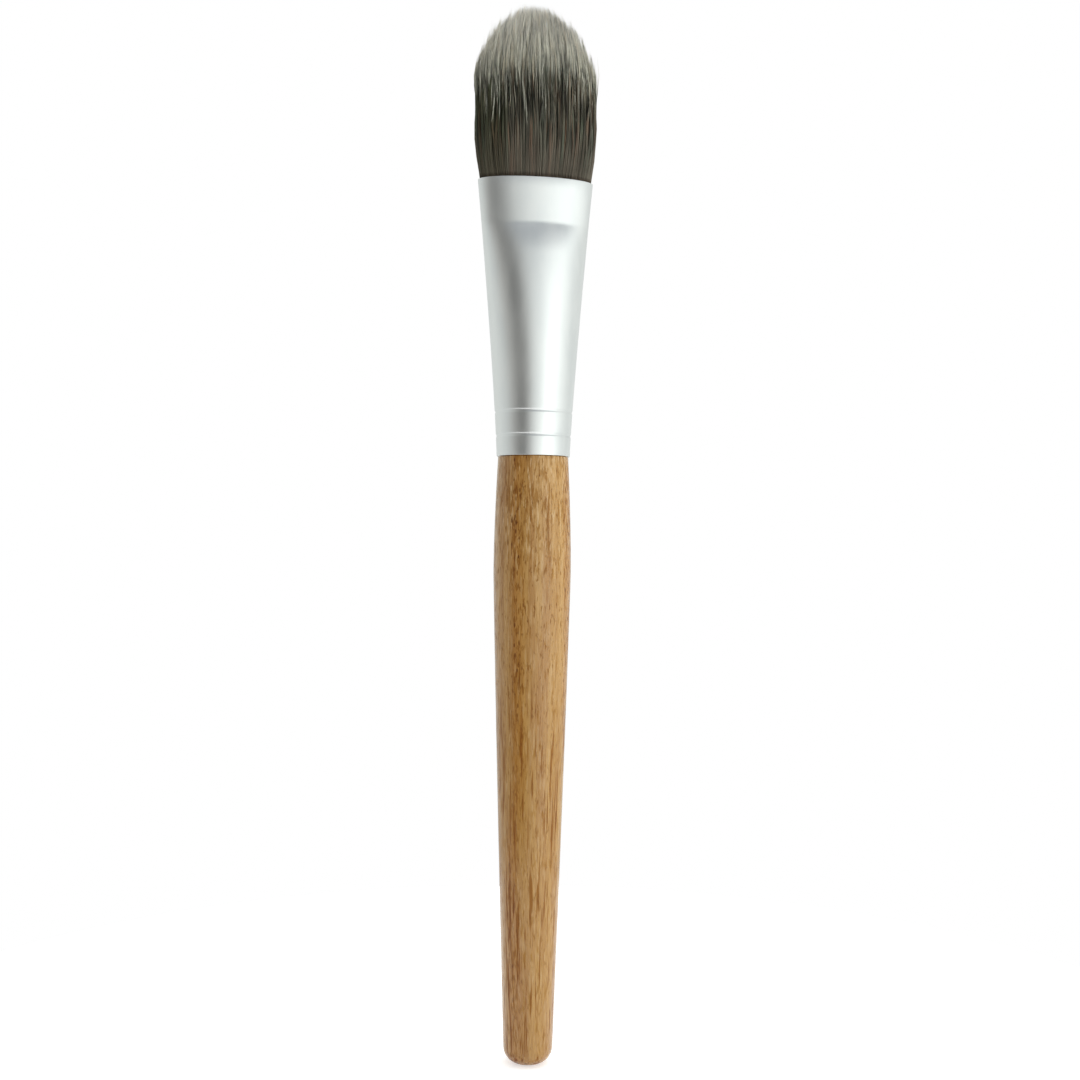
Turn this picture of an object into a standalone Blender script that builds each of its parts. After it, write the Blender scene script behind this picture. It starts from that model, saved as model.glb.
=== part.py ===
"""Foundation brush, upright with its tuft towards +Z and its broad faces towards -Y and +Y.

The origin is at the middle of the grip, on the axis, where the handle is thickest. A turned hardwood handle ends
in a tenon. A thin aluminium ferrule is glued and crimped on the tenon: it is round there and pressed flat at its
mouth, where a plug of cured resin holds the root of a domed filament tuft.
"""

import math

import bmesh
import bpy
from mathutils import Matrix, Vector

MM = 0.001

# Fits shared by the pieces
SEAT_GAP = 0.3 * MM
WELD_DISTANCE = 0.01 * MM

# Ferrule, measured up from its rim
FERRULE_LENGTH = 46.9 * MM
FERRULE_WALL = 0.35 * MM
RIM_RADIUS = 6.25 * MM
RIM_ROUND = 0.2 * MM
RIM_TUCK = 0.08 * MM
MOUTH_HALF_WIDTH = 9.98 * MM
BAND_HALF_DEPTH = 4.3 * MM
BAND_LENGTH = 7.65 * MM
CRIMP_COUNT = 2
FIRST_CRIMP_HEIGHT = 3.5 * MM
CRIMP_PITCH = 4.0 * MM
CRIMP_WIDTH = 0.6 * MM
CRIMP_DEPTH = 0.12 * MM
ROUND_ABOVE_CRIMPS = 1.0 * MM
RAMP_LENGTH = 5.65 * MM
RAMP_HALF_DEPTH = 5.7 * MM
RAMP_FOOT_SLOPE_SHARE = 0.5
FLARE_POWER = 1.24
FLATTEN_POWER = 1.25
BODY_STEPS = 9
RAMP_STEPS = 5
OVAL_STEPS = 36

# Handle, measured up from its butt
HANDLE_LENGTH = 103.0 * MM
BUTT_RADIUS = 4.15 * MM
BUTT_FILLET = 2.8 * MM
BELLY_RADIUS = 6.68 * MM
BELLY_BELOW_SHOULDER = 19.7 * MM
NECK_STEP_IN = 0.07 * MM
SHOULDER_ROUND = 0.3 * MM
TENON_LENGTH = 16.0 * MM
TENON_CHAMFER = 0.8 * MM
CRIMP_BITE = 0.1 * MM
GLUE_GROOVE_WIDTH = 2.4 * MM
GLUE_GROOVE_DEPTH = 0.9 * MM
TAPER_POWER = 1.1
TAPER_STEPS = 10
NECK_STEPS = 5
FILLET_STEPS = 5
TURNED_STEPS = 36

# Resin plug under the tuft
PLUG_LENGTH = 7.0 * MM
MENISCUS_DEPTH = 0.9 * MM
MENISCUS_SHARES = ((0.8, 0.4), (0.5, 0.8), (0.2, 1.0))

# Filament tuft, measured up from the ferrule's mouth
TUFT_LENGTH = 30.0 * MM
ROOT_DEPTH = 7.2 * MM
ROOT_BLOCK_LENGTH = 2.0 * MM
TUFT_HALF_WIDTH = 10.85 * MM
TUFT_HALF_DEPTH = 4.9 * MM
WIDEST_HEIGHT = 14.0 * MM
DEEPEST_HEIGHT = 8.5 * MM
WIDTH_DOME_START = 16.5 * MM
LOCK_ROWS = 7
LOCK_COLUMNS = 17
LOCK_SIDES = 5
LOCK_GAP = 0.11 * MM
LOCK_TAPER = 9.0 * MM
LOCK_POINT = 1.1 * MM
LOCK_POINT_SHARE = 0.5
LOCK_STATION_SHARES = (0.0, 0.1, 0.25, 0.45, 0.65, 0.85)
ROW_FILL_SHARE = 0.93
ROW_END_SLACK_SHARE = 0.1
WIDTH_DOME_POWER = 1.8
DEPTH_DOME_POWER = 1.65
CONVERGE_WIDTH_SHARE = 0.4
CONVERGE_DEPTH_SHARE = 0.6
TIP_SEARCH_STEPS = 24

# Places that follow from the sizes above
CRIMP_HEIGHTS = [FIRST_CRIMP_HEIGHT + CRIMP_PITCH * index for index in range(CRIMP_COUNT)]
ROUND_LENGTH = CRIMP_HEIGHTS[-1] + ROUND_ABOVE_CRIMPS
BAND_START = FERRULE_LENGTH - BAND_LENGTH
RAMP_START = BAND_START - RAMP_LENGTH
BELLY_HEIGHT = HANDLE_LENGTH - BELLY_BELOW_SHOULDER
NECK_RADIUS = RIM_RADIUS - NECK_STEP_IN
TENON_RADIUS = RIM_RADIUS - RIM_TUCK - FERRULE_WALL - SEAT_GAP
GLUE_GROOVE_MIDDLE = (SEAT_GAP + CRIMP_HEIGHTS[-1] + CRIMP_WIDTH + TENON_LENGTH - TENON_CHAMFER) / 2


def clear_scene():
    """Removes whatever the file opened with."""
    for item in list(bpy.data.objects):
        bpy.data.objects.remove(item)


def new_collection(name):
    made = bpy.data.collections.new(name)
    bpy.context.scene.collection.children.link(made)
    return made


def material(name, colour, roughness, metallic=0.0):
    made = bpy.data.materials.new(name)
    made.use_nodes = True
    shader = made.node_tree.nodes["Principled BSDF"]
    shader.inputs["Base Color"].default_value = (*colour, 1.0)
    shader.inputs["Roughness"].default_value = roughness
    shader.inputs["Metallic"].default_value = metallic
    return made


def new_object(name, mesh, collection, finish=None):
    item = bpy.data.objects.new(name, mesh)
    collection.objects.link(item)
    if finish:
        mesh.materials.append(finish)
    return item


def blend(low, high, share):
    return low + (high - low) * share


def share_of(value, low, high):
    """How far a value lies from low to high, held to 0 and 1."""
    return min(max((value - low) / (high - low), 0), 1)


def turned(name, profile, collection, finish):
    """A solid of revolution about its own Z, from a profile of (radius, height) that runs top to bottom."""
    mesh = bpy.data.meshes.new(name)
    points = [(radius, 0, height) for radius, height in profile]
    mesh.from_pydata(points, [(i, i + 1) for i in range(len(points) - 1)], [])
    item = new_object(name, mesh, collection, finish)
    screw = item.modifiers.new("Turn", "SCREW")
    screw.axis = "Z"
    screw.steps = screw.render_steps = TURNED_STEPS
    screw.use_merge_vertices = True
    screw.merge_threshold = WELD_DISTANCE
    with bpy.context.temp_override(object=item):
        bpy.ops.object.modifier_apply(modifier=screw.name)
    mesh.set_sharp_from_angle(angle=math.radians(30))
    return item


def skin(shape, rings):
    """Joins rings of equal count, lowest first, each counter-clockwise seen from above, and returns their verts."""
    made = [[shape.verts.new(point) for point in ring] for ring in rings]
    count = len(made[0])
    for low, high in zip(made, made[1:]):
        for i in range(count):
            j = (i + 1) % count
            shape.faces.new((low[i], low[j], high[j], high[i]))
    return made


def capped_loft(rings):
    shape = bmesh.new()
    made = skin(shape, rings)
    shape.faces.new(reversed(made[0]))
    shape.faces.new(made[-1])
    return shape


def to_mesh(shape, name, flat_angle=30):
    mesh = bpy.data.meshes.new(name)
    shape.to_mesh(mesh)
    shape.free()
    mesh.shade_smooth()
    mesh.set_sharp_from_angle(angle=math.radians(flat_angle))
    return mesh


def oval(half_width, half_depth, height):
    """An elliptical ring, or a circle where both sizes match."""
    ring = []
    for step in range(OVAL_STEPS):
        angle = 2 * math.pi * step / OVAL_STEPS
        ring.append(Vector((half_width * math.cos(angle), half_depth * math.sin(angle), height)))
    return ring


def ferrule_half_width(height):
    """Outer half width: the tube widens steadily from its rim to its mouth."""
    return blend(RIM_RADIUS, MOUTH_HALF_WIDTH, (max(height, 0) / FERRULE_LENGTH) ** FLARE_POWER)


def ferrule_half_depth(height):
    """Outer half depth: round at first, slowly flatter up to the ramp's foot, then pressed in to the band."""
    flattening = share_of(height, ROUND_LENGTH, RAMP_START) ** FLATTEN_POWER
    climb = share_of(height, RAMP_START, BAND_START)
    pressing = climb * blend(RAMP_FOOT_SLOPE_SHARE, 1, climb)
    return blend(blend(ferrule_half_width(height), RAMP_HALF_DEPTH, flattening), BAND_HALF_DEPTH, pressing)


def ferrule_ring(height, inset=0):
    """The ferrule's outer section at a height, taken in by an inset."""
    return oval(ferrule_half_width(height) - inset, ferrule_half_depth(height) - inset, height)


def crimp_stations(middle):
    """(height, inset) pairs that dip into one rolled groove."""
    lip = CRIMP_WIDTH / 2
    floor = lip - CRIMP_DEPTH
    return [
        (middle - lip, 0),
        (middle - floor, CRIMP_DEPTH),
        (middle + floor, CRIMP_DEPTH),
        (middle + lip, 0),
    ]


def ferrule_stations():
    """(height, inset) pairs from the rim to the mouth."""
    stations = [(0, RIM_TUCK), (RIM_ROUND, 0)]
    for middle in CRIMP_HEIGHTS:
        stations += crimp_stations(middle)
    stations += [(blend(ROUND_LENGTH, RAMP_START, step / BODY_STEPS), 0) for step in range(BODY_STEPS)]
    stations += [(blend(RAMP_START, BAND_START, step / RAMP_STEPS), 0) for step in range(RAMP_STEPS + 1)]
    stations.append((FERRULE_LENGTH - RIM_ROUND, 0))
    stations.append((FERRULE_LENGTH, RIM_TUCK))
    return stations


def build_ferrule(collection, finish):
    """Thin tube skinned over its outer sections, given its wall inwards, with crimps and a pressed mouth."""
    shape = bmesh.new()
    skin(shape, [ferrule_ring(height, inset) for height, inset in ferrule_stations()])
    ferrule = new_object("ferrule", to_mesh(shape, "ferrule"), collection, finish)
    ferrule.location.z = HANDLE_LENGTH + SEAT_GAP
    wall = ferrule.modifiers.new("Wall", "SOLIDIFY")
    wall.thickness = FERRULE_WALL
    wall.offset = -1
    wall.use_even_offset = True
    wall.use_rim = True
    return ferrule


def bore_radius(height):
    """Radius of the largest round thing that fits in the ferrule at a height."""
    return min(ferrule_half_width(height), ferrule_half_depth(height)) - FERRULE_WALL


def filling_rings(bottom, top):
    """Sections of what fills the ferrule between two heights, a seat gap clear of its wall."""
    clear = FERRULE_WALL + SEAT_GAP
    between = [(height, inset) for height, inset in ferrule_stations() if bottom < height < top]
    levels = [(bottom, 0), *between, (top, 0)]
    return [ferrule_ring(height, inset + clear) for height, inset in levels]


def tenon_profile():
    """(radius, height) pairs down the tenon: chamfered end, glue groove and the dents that the crimps press."""
    top = HANDLE_LENGTH + TENON_LENGTH
    points = [(0, top), (TENON_RADIUS - TENON_CHAMFER, top), (TENON_RADIUS, top - TENON_CHAMFER)]
    groove_top = HANDLE_LENGTH + GLUE_GROOVE_MIDDLE + GLUE_GROOVE_WIDTH / 2
    groove_bottom = groove_top - GLUE_GROOVE_WIDTH
    floor = TENON_RADIUS - GLUE_GROOVE_DEPTH
    points += [(TENON_RADIUS, groove_top), (floor, groove_top)]
    points += [(floor, groove_bottom), (TENON_RADIUS, groove_bottom)]
    for height in reversed(CRIMP_HEIGHTS):
        middle = HANDLE_LENGTH + SEAT_GAP + height
        points.append((TENON_RADIUS, middle + CRIMP_WIDTH))
        points.append((TENON_RADIUS - CRIMP_BITE, middle))
        points.append((TENON_RADIUS, middle - CRIMP_WIDTH))
    return points


def grip_profile():
    """(radius, height) pairs down the grip: shoulder, neck, belly, long taper and the filleted butt."""
    neck = HANDLE_LENGTH - SHOULDER_ROUND
    points = [
        (TENON_RADIUS, HANDLE_LENGTH),
        (NECK_RADIUS - SHOULDER_ROUND, HANDLE_LENGTH),
        (NECK_RADIUS, neck),
    ]
    for step in range(1, NECK_STEPS + 1):
        share = step / NECK_STEPS
        swell = math.sin(math.pi / 2 * share)
        points.append((blend(NECK_RADIUS, BELLY_RADIUS, swell), blend(neck, BELLY_HEIGHT, share)))
    for step in range(1, TAPER_STEPS + 1):
        share = 1 - step / TAPER_STEPS
        swell = 1 - (1 - share) ** TAPER_POWER
        points.append((blend(BUTT_RADIUS, BELLY_RADIUS, swell), blend(BUTT_FILLET, BELLY_HEIGHT, share)))
    centre = BUTT_RADIUS - BUTT_FILLET
    for step in range(1, FILLET_STEPS + 1):
        angle = math.pi / 2 * step / FILLET_STEPS
        points.append((centre + BUTT_FILLET * math.cos(angle), BUTT_FILLET * (1 - math.sin(angle))))
    return [*points, (0, 0)]


def build_handle(collection, finish):
    return turned("handle", tenon_profile() + grip_profile(), collection, finish)


def build_adhesive_ring(collection, finish):
    """Cured glue that fills the tenon's glue groove and stands out of it to the ferrule's wall."""
    inner = TENON_RADIUS - GLUE_GROOVE_DEPTH + SEAT_GAP
    half_width = GLUE_GROOVE_WIDTH / 2 - SEAT_GAP
    middle = GLUE_GROOVE_MIDDLE - SEAT_GAP
    profile = [
        (inner, half_width),
        (bore_radius(middle + half_width) - SEAT_GAP, half_width),
        (bore_radius(middle - half_width) - SEAT_GAP, -half_width),
        (inner, -half_width),
        (inner, half_width),
    ]
    ring = turned("adhesive_ring", profile, collection, finish)
    ring.location.z = HANDLE_LENGTH + GLUE_GROOVE_MIDDLE
    return ring


def build_resin_plug(collection, finish):
    """Resin that fills the ferrule below the tuft's root and is too deep to pass the pressed band.

    Its lower face is dished, as the resin sets against the wall.
    """
    top = FERRULE_LENGTH - ROOT_DEPTH - SEAT_GAP
    body = filling_rings(top - PLUG_LENGTH, top)
    dish = []
    for section_share, rise_share in reversed(MENISCUS_SHARES):
        shrink = Matrix.Diagonal((section_share, section_share, 1))
        rise = Vector((0, 0, MENISCUS_DEPTH * rise_share))
        dish.append([shrink @ point + rise for point in body[0]])
    return new_object("resin_plug", to_mesh(capped_loft(dish + body), "resin_plug"), collection, finish)


def dome(height, start, power):
    """1 below start, closing to 0 at the tip of the tuft."""
    return (1 - share_of(height, start, TUFT_LENGTH) ** power) ** (1 / power)


def bundle_reach(height):
    """Half width and half depth of the bundle of locks, before the dome cuts it, at a height above the mouth."""
    inset = RIM_TUCK + FERRULE_WALL + SEAT_GAP
    width = ferrule_half_width(FERRULE_LENGTH + min(height, 0)) - inset
    depth = BAND_HALF_DEPTH - inset
    width = blend(width, TUFT_HALF_WIDTH, math.sin(math.pi / 2 * share_of(height, 0, WIDEST_HEIGHT)))
    depth = blend(depth, TUFT_HALF_DEPTH, math.sin(math.pi / 2 * share_of(height, 0, DEEPEST_HEIGHT)))
    width *= 1 - CONVERGE_WIDTH_SHARE * (1 - dome(height, WIDTH_DOME_START, WIDTH_DOME_POWER))
    depth *= 1 - CONVERGE_DEPTH_SHARE * (1 - dome(height, DEEPEST_HEIGHT, DEPTH_DOME_POWER))
    return width, depth


def inside_dome(across, through, height):
    """Whether a lock at these shares of the bundle's half sizes still lies inside the rounded tuft."""
    width, depth = bundle_reach(height)
    across_limit = TUFT_HALF_WIDTH * dome(height, WIDTH_DOME_START, WIDTH_DOME_POWER)
    through_limit = TUFT_HALF_DEPTH * dome(height, DEEPEST_HEIGHT, DEPTH_DOME_POWER)
    if not across_limit or not through_limit:
        return False
    return (across * width / across_limit) ** 2 + (through * depth / through_limit) ** 2 < 1


def tip_height(across, through):
    """Height above the mouth where a lock meets the rounded outline of the tuft."""
    low, high = 0, TUFT_LENGTH
    for _ in range(TIP_SEARCH_STEPS):
        middle = (low + high) / 2
        if inside_dome(across, through, middle):
            low = middle
        else:
            high = middle
    return low


def lock_layout():
    """Root half sizes of the bundle, the spacing of its columns and rows, and the half sizes of one lock.

    The locks stand in staggered rows that fill the bundle from side to side and from front to back.
    """
    width, depth = bundle_reach(-ROOT_DEPTH)
    column_pitch = (2 * width + LOCK_GAP) / LOCK_COLUMNS
    lock_width = column_pitch - LOCK_GAP
    stagger = math.sin(math.radians(60))
    row_pitch = 2 * depth * ROW_FILL_SHARE / (LOCK_ROWS - 1 + lock_width / column_pitch / stagger)
    lock_depth = lock_width * row_pitch / column_pitch / stagger
    return width, depth, column_pitch, row_pitch, lock_width / 2, lock_depth / 2


def lock_places():
    """Centres of the locks in the root, row by row, as shares of the bundle's half sizes there."""
    width, depth, column_pitch, row_pitch, lock_half_width, lock_half_depth = lock_layout()
    places = []
    for row in range(LOCK_ROWS):
        through = (row - (LOCK_ROWS - 1) / 2) * row_pitch
        reach = (width - lock_half_width) * math.sqrt(1 - (through / (depth - lock_half_depth)) ** 2)
        first = (row + LOCK_ROWS // 2) % 2 / 2
        last = int(reach / column_pitch - first + ROW_END_SLACK_SHARE)
        columns = [first + column for column in range(last + 1)]
        for column in sorted({side * column for side in (-1, 1) for column in columns}):
            places.append((column * column_pitch / width, through / depth))
    return places


def lock_ring(across, through, height, size):
    """One section of a lock, which widens as the whole bundle does."""
    root_width, root_depth, _, _, half_width, half_depth = lock_layout()
    width, depth = bundle_reach(height)
    ring = []
    for side in range(LOCK_SIDES):
        turn = 2 * math.pi * side / LOCK_SIDES
        x = width * (across + size * half_width * math.cos(turn) / root_width)
        y = depth * (through + size * half_depth * math.sin(turn) / root_depth)
        ring.append(Vector((x, y, height)))
    return ring


def add_lock(shape, across, through, start):
    """A pointed lock of filaments from inside the root block to the rounded outline of the tuft."""
    tip = tip_height(across, through)
    shoulder = tip - LOCK_POINT
    levels = [share * TUFT_LENGTH for share in LOCK_STATION_SHARES]
    stations = [start, *[level for level in levels if level < shoulder - LOCK_POINT], shoulder]
    rings = []
    for height in stations:
        size = blend(LOCK_POINT_SHARE, 1, share_of(shoulder - height, 0, LOCK_TAPER))
        rings.append(lock_ring(across, through, height, size))
    made = skin(shape, rings)
    shape.faces.new(reversed(made[0]))
    width, depth = bundle_reach(tip)
    point = shape.verts.new((across * width, through * depth, tip))
    for i, corner in enumerate(made[-1]):
        shape.faces.new((corner, made[-1][(i + 1) % LOCK_SIDES], point))


def build_tuft(collection, helpers, finish):
    """Pointed locks of filaments that stand in one bonded root block and end on a flattened dome."""
    block_top = ROOT_BLOCK_LENGTH - ROOT_DEPTH
    rings = filling_rings(FERRULE_LENGTH - ROOT_DEPTH, FERRULE_LENGTH + block_top)
    mouth = Vector((0, 0, FERRULE_LENGTH))
    block = capped_loft([[point - mouth for point in ring] for ring in rings])
    tuft = new_object("filament_tuft", to_mesh(block, "filament_tuft"), collection, finish)
    tuft.location = mouth
    shape = bmesh.new()
    for across, through in lock_places():
        add_lock(shape, across, through, block_top - ROOT_BLOCK_LENGTH / 2)
    locks = new_object("locks", to_mesh(shape, "locks"), helpers)
    locks.parent = tuft
    locks.hide_render = True
    locks.display_type = "WIRE"
    join = tuft.modifiers.new("Join locks", "BOOLEAN")
    join.operation = "UNION"
    join.object = locks
    return tuft


def main():
    clear_scene()
    parts = new_collection("foundation_brush")
    helpers = new_collection("helpers")
    handle = build_handle(parts, material("oiled beech", (0.42, 0.24, 0.1), 0.55))
    ring = build_adhesive_ring(parts, material("wood glue", (0.75, 0.7, 0.55), 0.5))
    ferrule = build_ferrule(parts, material("satin aluminium", (0.78, 0.79, 0.8), 0.35, metallic=1.0))
    plug = build_resin_plug(parts, material("cured resin", (0.6, 0.5, 0.3), 0.25))
    tuft = build_tuft(parts, helpers, material("dyed filament", (0.1, 0.09, 0.07), 0.6))
    brush = bpy.data.objects.new("brush", None)
    parts.objects.link(brush)
    brush.location.z = -BELLY_HEIGHT
    for piece in (handle, ring, ferrule):
        piece.parent = brush
    for piece in (plug, tuft):
        piece.parent = ferrule


main()
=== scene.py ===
"""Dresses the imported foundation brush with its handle, ferrule and two-tone filament tuft.

The brush stands upright as packed: its tuft points to +Z, its broad faces look to -Y and +Y, and
the origin is in the middle of the grip.
"""

import math

import bpy
import numpy as np
from mathutils import Matrix, Vector


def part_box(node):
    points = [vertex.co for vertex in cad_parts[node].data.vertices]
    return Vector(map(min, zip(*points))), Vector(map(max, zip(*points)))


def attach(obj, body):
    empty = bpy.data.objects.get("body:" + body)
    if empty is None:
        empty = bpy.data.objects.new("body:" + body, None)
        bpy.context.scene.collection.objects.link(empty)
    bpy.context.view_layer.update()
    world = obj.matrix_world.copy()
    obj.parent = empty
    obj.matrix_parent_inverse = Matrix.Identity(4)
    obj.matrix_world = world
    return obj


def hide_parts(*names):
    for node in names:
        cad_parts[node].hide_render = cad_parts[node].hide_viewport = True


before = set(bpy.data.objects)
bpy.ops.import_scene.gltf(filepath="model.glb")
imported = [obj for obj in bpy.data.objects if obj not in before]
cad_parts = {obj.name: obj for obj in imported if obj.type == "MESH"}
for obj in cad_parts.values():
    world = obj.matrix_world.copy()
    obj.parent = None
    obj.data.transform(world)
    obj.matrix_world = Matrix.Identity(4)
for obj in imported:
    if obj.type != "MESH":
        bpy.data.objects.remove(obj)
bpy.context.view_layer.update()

MM = 0.001
BUTT_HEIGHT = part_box("handle")[0].z
TENON_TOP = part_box("handle")[1].z
RIM_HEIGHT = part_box("ferrule")[0].z
MOUTH_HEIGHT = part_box("ferrule")[1].z
QUARTER_TURN = math.pi / 2
FULL_TURN = 2 * math.pi
DEGREES = 180 / math.pi
MERGE_DISTANCE = 0.001 * MM
SHARP_ANGLE = 30  # degrees, past which an edge stays sharp

# Handle, in millimetres up from its butt
HANDLE_LENGTH = 103.24
BUTT_RADIUS = 4.2
BUTT_FILLET = 2.8
BELLY_HEIGHT = 83.3
BELLY_RADIUS = 6.6
NECK_RADIUS = 5.99
SHOULDER_ROUND = 0.12
TENON_RADIUS = 5.52
TENON_CHAMFER = 0.8
TAPER_POWER = 1.1
TAPER_STEPS = 30
NECK_STEPS = 14
ROUNDING_STEPS = 8
HANDLE_SIDES = 96

# Ferrule, in millimetres up from its rim
FERRULE_LENGTH = 46.9
FERRULE_WALL = 0.35
RIM_RADIUS = 6.25
MOUTH_HALF_WIDTH = 9.98
BAND_HALF_DEPTH = 4.3
BAND_START = 39.25
RAMP_START = 33.6
RAMP_HALF_DEPTH = 5.7
RAMP_FOOT_SLOPE = 0.5
CREASE_HALF_LENGTH = 0.4
CREASE_SAMPLES = 9
CRIMP_HEIGHTS = (3.5, 7.5)
CRIMP_WIDTH = 0.78
CRIMP_DEPTH = 0.125
ROUND_LENGTH = 8.5
FLARE_POWER = 1.24
FLATTEN_POWER = 1.25
BODY_STEPS = 20
RAMP_STEPS = 12
CREASE_STEPS = 8
BAND_STEPS = 4
CRIMP_STEPS = 8
FERRULE_SIDES = 96
FERRULE_SHARP_ANGLE = 40  # degrees
LIP_ROUND = 0.12
LIP_MIDDLE = LIP_ROUND * 0.3

# Tuft, in millimetres up from the ferrule's mouth
TUFT_LENGTH = 30.0
TUFT_HALF_WIDTH = 10.76
TUFT_HALF_DEPTH = 4.9
MOUTH_CLEARANCE = 0.03
NARROWING_BELOW_MOUTH = 0.075
SPREAD_WIDTH_HEIGHT = 5.0
DEEPEST_HEIGHT = 8.5
WIDTH_DOME_START = 16.5
WIDTH_DOME_POWER = 1.8
DEPTH_DOME_POWER = 1.65
CONVERGE_WIDTH = 0.4
CONVERGE_DEPTH = 0.6
HIGHEST_TIP = TUFT_LENGTH + 0.15
TIP_SEARCH_STEPS = 24
LEAST_REACH = 1e-6
ROOT_DEPTH = 7.2
ROOT_TOP = -5.2
ROOT_CLEARANCE = 0.65
ROOT_SIDES = 48
ROOT_LEVELS = 4

# How filaments, strands of them and locks of strands are scattered
TUFT_SEED = 11
FILAMENT_COUNT = 11500
STRAND_COUNT = 980
LOCK_COUNT = 260
STRAND_SCATTER = 0.008
PLASTIC_NUMBER = 1.32471795724475
PLACES_PER_COUNT = 1.3  # laid in the square for each one that its circle keeps
SPARE_PLACES = 8
PLACES_AT_ONCE = 1000

# One filament, with levels as shares of its length
FILAMENT_RADIUS = 0.066
FILAMENT_SIDES = 3
FILAMENT_LEVELS = (0.0, 0.16, 0.28, 0.4, 0.52, 0.64, 0.76, 0.88, 1.0)
FILAMENT_TAPER = (1.0, 1.0, 1.0, 1.0, 1.0, 0.94, 0.82, 0.58, 0.12)

# How filaments draw in to their strand, lean, lift and wave, in millimetres; the flat shares are
# across the tuft's width and through its depth
DRAW_IN = 0.85
DRAW_IN_SHARES = (0.3, 1.0)
DRAW_START = 1.0
DRAW_PEAK = 16.0
DRAW_AT_TIP = 0.45
LEAN_START = 2.0
LEAN_POWER = 1.6
TUFT_LEAN = -0.2
LOCK_LEAN = 0.18
STRAND_LEAN = 0.28
FILAMENT_LEAN = 0.07
FLAT_SHARES = (1, 0.6)
STRAY_SHARE = 0.035
STRAY_LEAN = 0.8
STRAY_FLAT_SHARES = (1, 0.25)
LOCK_LIFT = 0.1
STRAND_LIFT = 0.25
FILAMENT_LIFT = 0.3
WAVE_SIZE = 0.15
WAVE_LENGTHS = (8.0, 19.0)
WAVE_FULL_HEIGHT = 12

# The filaments' own map, with their tone across and the height above the mouth upwards
TONE_MAP = "OFBake"
TONE_STRIP = 0.003
TONES = (0.01, 0.98)
HIGHEST_TONE = 0.99
FILAMENT_TONE = 0.0016
MAP_LOW = -8.0
MAP_HIGH = 34.0


# ---- Modelling by hand ----


def put_away():
    """Leaves edit mode with nothing selected."""
    if bpy.context.object and bpy.context.object.mode != "OBJECT":
        bpy.ops.object.mode_set(mode="OBJECT")
    bpy.ops.object.select_all(action="DESELECT")


def draw_ring(name, sides, radius, height, fill="NGON"):
    """Starts a piece with a ring round the brush's axis, left in edit mode and selected."""
    put_away()
    bpy.ops.mesh.primitive_circle_add(
        vertices=sides, radius=radius, fill_type=fill, location=(0, 0, height)
    )
    piece = bpy.context.object
    piece.name = piece.data.name = name
    bpy.ops.object.transform_apply(location=True, rotation=True, scale=True)
    bpy.ops.object.mode_set(mode="EDIT")
    bpy.ops.mesh.select_mode(type="VERT")
    bpy.ops.mesh.select_all(action="SELECT")
    return piece


def scale_ring(across, through, height):
    bpy.ops.transform.resize(value=(across, through, 1), center_override=(0, 0, height))


def draw_up(name, sections, sides, fill="NGON"):
    """Draws a ring up through sections of (half width, half depth, height), in edit mode."""
    half_width, half_depth, height = sections[0]
    piece = draw_ring(name, sides, half_width, height, fill)
    scale_ring(1, half_depth / half_width, height)
    for next_width, next_depth, next_height in sections[1:]:
        rise = (0, 0, next_height - height)
        bpy.ops.mesh.extrude_region_move(TRANSFORM_OT_translate={"value": rise})
        scale_ring(next_width / half_width, next_depth / half_depth, next_height)
        half_width, half_depth, height = next_width, next_depth, next_height
    return piece


def close_up(piece, sharp_angle=SHARP_ANGLE):
    """Merges doubles, turns the faces outwards and smooths the finished shape."""
    bpy.ops.mesh.select_all(action="SELECT")
    bpy.ops.mesh.remove_doubles(threshold=MERGE_DISTANCE)
    bpy.ops.mesh.normals_make_consistent(inside=False)
    put_away()
    piece.select_set(True)
    bpy.context.view_layer.objects.active = piece
    bpy.ops.object.shade_smooth_by_angle(angle=math.radians(sharp_angle))
    return piece


def finish_modifier(piece, kind, **settings):
    """Adds a modifier with these settings and applies it."""
    modifier = piece.modifiers.new(kind.title(), kind)
    for name, value in settings.items():
        setattr(modifier, name, value)
    with bpy.context.temp_override(object=piece, active_object=piece):
        bpy.ops.object.modifier_apply(modifier=modifier.name)


def blend(low, high, share):
    return low + (high - low) * share


def share_of(value, low, high):
    """How far a value, or an array of them, lies from low to high, held to 0 and 1."""
    return np.clip((value - low) / (high - low), 0, 1)


# ---- Handle ----


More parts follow.
